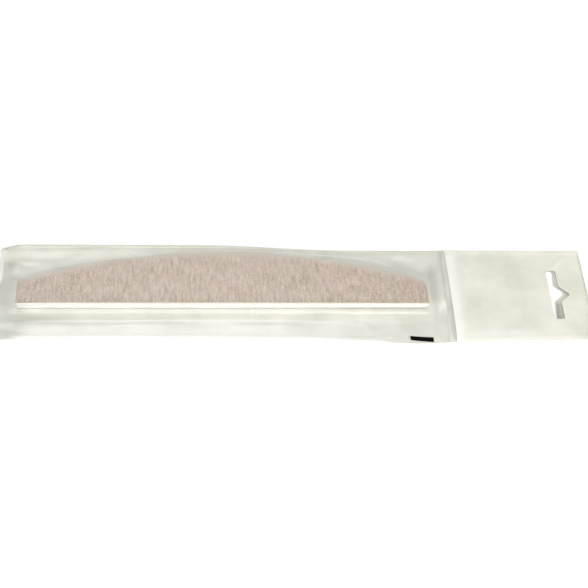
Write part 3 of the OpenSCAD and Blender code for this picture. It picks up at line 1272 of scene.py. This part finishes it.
    def film_shade_weights(self, x: Grid, y: Grid) -> Grid:
        """How much painted shade darkens the clear film: at the mouth, beside the board's inner end and the
        weld, in patches, and at the far side.
        """
        form = self.form
        depth = self.mouth_depth + self.mouth_deeper * self.mouth_front.rise(-y)
        mouth = self.mouth_fade.fall(x - form.mouth - depth)
        mouth = mouth * (1 - self.mouth_loss * self.mouth_behind.rise(y))
        inner = hump(x, form.board.half_length + self.inner_inset, self.strip_reach)
        inner = inner * self.inner_side.fall(np.abs(y - self.inner_middle))
        weldside = hump(x, self.weld_strip, self.strip_reach) * self.weld_side.rise(-y)
        margin = self.margin_side.fall(form.far(x) - y) * self.margin_start.rise(x) * self.margin_end.fall(x)
        shade_patches = sum(shade_spot.at(x, y) for shade_spot in self.shade_patches)
        return self.most_film_shade * np.maximum.reduce([
            self.mouth_shade * mouth, inner, self.margin_shade * margin, shade_patches, weldside,
        ])

    def milk(self, x: Grid, y: Grid) -> Grid:
        """How much painted light whitens the clear film: along its sealed near side, and as a painted
        highlight at the cut end of its mouth.
        """
        form = self.form
        sealed = self.seal_side.fall(y - form.near(x)) * self.seal_start.rise(x) * self.seal_end.fall(x)
        cut = self.cut_end.fall(x - form.mouth) * self.cut_side.rise(y)
        return self.most_painted_light * np.maximum(sealed, self.cut_highlight * cut)

    @staticmethod
    def bead(name: str, spine: Grid, side: Pair, half_size: Pair,
             finish: Finish, *replaced: str) -> None:
        """Builds a melted bead along a line, a little uneven in its thickness.

        Args:
            name: The piece's name.
            spine: Points along the middle of the bead.
            side: Direction of the bead's width, in the plane of the table.
            half_size: Half its width and half its height.
            finish: Its finish.
            replaced: The CAD nodes that it stands for.
        """
        size, count = 8, len(spine)
        length = np.linalg.norm(spine - spine[0], axis=1)
        wobble = 1 + 0.12 * np.sin(length / (1.9 * MM)) * np.sin(length / (7.3 * MM))
        turn = np.linspace(0, 2 * math.pi, size + 1)[:-1]
        across = np.outer(np.cos(turn), (*side, 0.0)) * half_size[0]
        upward = np.outer(np.sin(turn), (0.0, 0.0, 1.0)) * half_size[1]
        rings = spine[:, None, :] + (across + upward)[None, :, :] * wobble[:, None, None]
        faces = []
        for k in range(0, (count - 1) * size, size):
            for i in range(size):
                j = (i + 1) % size
                faces.append([k + i, k + j, k + size + j, k + size + i])
        faces.append(list(range(size))[::-1])
        faces.append([(count - 1) * size + i for i in range(size)])
        add_piece(name, rings.reshape(-1, 3), faces, finish, Body.SLEEVE, "weld", *replaced)

    def long_beads(self) -> None:
        """Builds the melted beads along both long sides, which follow the films' edges."""
        form = self.form
        x = np.linspace(form.mouth, form.end, self.long_steps)
        for side, inward, edge, width, finish in (
            ("near", 1, form.near, self.near_bead, NEAR_BEAD_LIGHT), ("far", -1, form.far, form.bead, EDGE_SHADE_BEAD),
        ):
            y = edge(x) + inward * width / 2
            spine = np.stack([x, y, form.back(x, y) + 1.1 * form.film], 1)
            self.bead(f"{side}_bead", spine, (0, 1), (width / 2, form.film), finish, f"{side}_side_weld")

    def end_bead(self) -> None:
        """Builds the thin melted rim along the header's end."""
        form = self.form
        x = np.full(self.end_steps, form.end - self.end_half)
        y = np.linspace(form.near(x[:1])[0] + form.bead, form.far(x[:1])[0] - form.bead, len(x))
        rise = (1 - form.back_share) * form.header_rise(x, y) + form.end_curl
        spine = np.stack([x, y, form.back(x, y) + 3.6 * form.film + rise], 1)
        self.bead("header_end_bead", spine, (-1, 0), (self.end_half, 0.9 * form.film), EDGE_SHADE_BEAD)

    def header_weld(self) -> None:
        """Builds the crimped weld that joins the front film to the header."""
        form = self.form
        low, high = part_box("header_weld")
        end = form.seam + 0.3 * MM
        x = np.linspace(low.x, end, self.weld_steps[0])
        share = np.linspace(0, 1, self.weld_steps[1])
        x, y = net(x, form.near(x) + 0.6 * form.bead, form.far(x) - 0.6 * form.bead, share)
        # The band narrows towards the far side
        x = end - (end - x) * (1 - 0.5 * share[None, :])
        floor = form.back(x, y) + 2 * form.film + self.weld_film
        # Shallow crimp ribs along the band
        ribs = 0.5 + 0.5 * np.cos((x - low.x) / (high.x - low.x) * 2 * math.pi * self.weld_ribs)
        points, faces = slab(x, y, floor + self.weld_film + self.rib_height * ribs, floor)
        piece = add_piece("header_weld_band", points, faces, WELD, Body.SLEEVE, "weld", "header_weld")
        # Painted shade: the weld band is greyer towards its near end
        paint(piece, PAINTED_GREY_SHADE, self.weld_bruise * self.weld_bruise_side.fall(y))

    def registration_mark(self) -> None:
        """Builds the black printed bar on the near edge of the pocket."""
        form = self.form
        x = np.linspace(self.mark_start, self.mark_end, self.mark_steps[0])
        share = np.linspace(0, 1, self.mark_steps[1])
        along = (x - self.mark_start) / (self.mark_end - self.mark_start)
        near = form.near(x) + self.mark_inset - self.mark_lean * along
        x, y = net(x, near, near + self.mark_width + self.mark_flare * along, share)
        floor = form.front(x, y) + self.front_share * form.film + self.ink / 2
        points, faces = slab(x, y, floor + self.ink, floor)
        add_piece("registration_mark", points, faces, INK, Body.SLEEVE, "weld")

    def build(self) -> None:
        """Builds every piece of the sleeve."""
        self.back_film()
        self.front_film()
        self.header_film()
        self.header_weld()
        self.long_beads()
        self.end_bead()
        self.registration_mark()


@dataclass
class Studio:
    """The floor, the lights and the camera."""

    camera_place: Triple = (-29.2 * MM, -391.8 * MM, 508.0 * MM)
    heading: float = 8.505
    pitch: float = 51.478
    roll: float = 6.706
    lens: float = 90.84
    sensor: float = 36.0
    clip: Pair = (0.01, 50.0)
    target: Triple = (0.03, 0.008, 0.0)
    sky: str = "#FFFFFF"
    world_level: float = 0.2
    mirrored_level: float = 0.8
    floor_size: float = 1.8
    floor_drop: float = 0.05 * MM

    def camera(self) -> None:
        """Sets the camera at the photograph's viewing angle, with no shift."""
        heading, pitch, roll = (math.radians(a) for a in (self.heading, self.pitch, self.roll))
        turn = Matrix.Rotation(-heading, 4, "Z") @ Matrix.Rotation(math.pi / 2 - pitch, 4, "X")
        data = bpy.data.cameras.new("photo_camera")
        data.lens = self.lens
        data.sensor_width = self.sensor
        data.clip_start, data.clip_end = self.clip
        camera = bpy.data.objects.new("photo_camera", data)
        bpy.context.scene.collection.objects.link(camera)
        camera.matrix_world = Matrix.Translation(self.camera_place) @ turn @ Matrix.Rotation(roll, 4, "Z")
        bpy.context.scene.camera = camera

    def lamp(self, name: str, place: Triple, size: float, power: float,
             mirrored: bool = True) -> None:
        """Adds one square soft box that points at the middle of the object.

        Args:
            name: The lamp's name.
            place: Where it hangs, in metres.
            size: Length of its side, in metres.
            power: Its power in watts.
            mirrored: Whether glossy surfaces show it.
        """
        data = bpy.data.lights.new(name, "AREA")
        data.shape = "SQUARE"
        data.size = size
        data.energy = power
        lamp = bpy.data.objects.new(name, data)
        lamp.visible_glossy = mirrored
        lamp.location = place
        ahead = Vector(self.target) - lamp.location
        lamp.rotation_euler = ahead.to_track_quat("-Z", "Y").to_euler()
        bpy.context.scene.collection.objects.link(lamp)

    def world(self) -> None:
        """Sets a plain soft sky, which the camera sees as white."""
        world = bpy.data.worlds.new("soft_sky")
        world.use_nodes = True
        tree = world.node_tree
        tree.nodes.clear()
        seen, direct = rays_seen(tree)
        strength = add_node(tree, "ShaderNodeMapRange", {}, {
            "Value": seen, "To Min": self.world_level, "To Max": self.mirrored_level,
        }).outputs["Result"]
        links = {0: strength, 1: direct}
        shown = add_node(tree, "ShaderNodeMath", {"operation": "MAXIMUM"}, links).outputs["Value"]
        sky = add_node(tree, "ShaderNodeBackground", {}, {
            "Color": linear(self.sky), "Strength": shown,
        }).outputs["Background"]
        add_node(tree, "ShaderNodeOutputWorld", {}, {"Surface": sky})
        bpy.context.scene.world = world

    def floor(self) -> None:
        """Lays the white sweep just under the sleeve."""
        half = self.floor_size / 2
        mesh = bpy.data.meshes.new("floor")
        corners = [(-half, -half, 0), (half, -half, 0), (half, half, 0), (-half, half, 0)]
        mesh.from_pydata(corners, [], [(0, 1, 2, 3)])
        mesh.materials.append(StudioSweep().material())
        floor = bpy.data.objects.new("floor", mesh)
        floor.location.z = -self.floor_drop
        bpy.context.scene.collection.objects.link(floor)

    def build(self) -> None:
        """Sets up the whole studio and the plain view transform."""
        self.camera()
        self.world()
        self.floor()
        # Small key on the right, whose shadow falls inside the hang slot and beside the header's lip
        self.lamp("right_key", (1.55, -0.42, 0.75), 0.3, 15.6, mirrored=False)
        # Low key in front on the left, which lights the cut foam edge and shades the board's right end
        self.lamp("left_key", (-0.95, -1.25, 0.8), 0.9, 17.0)
        # Broad box in front, which glints on the steep part of the film
        self.lamp("front_soft_box", (0.12, -0.9, 1.44), 0.85, 6.8)
        # Box high beyond the object: film that tilts a little towards the camera mirrors it
        self.lamp("high_soft_box", (-0.1, 0.94, 2.3), 1.0, 10.5)
        bpy.context.scene.view_settings.view_transform = "Standard"


def main() -> None:
    """Builds the studio, the board and the sleeve, in that order."""
    logging.basicConfig(level=logging.INFO, format="%(name)s: %(message)s")
    Studio().build()
    board = HalfMoonBoard()
    board.build()
    HangingSleeve(FilmForm(board)).build()


if __name__ == "__main__":
    main()
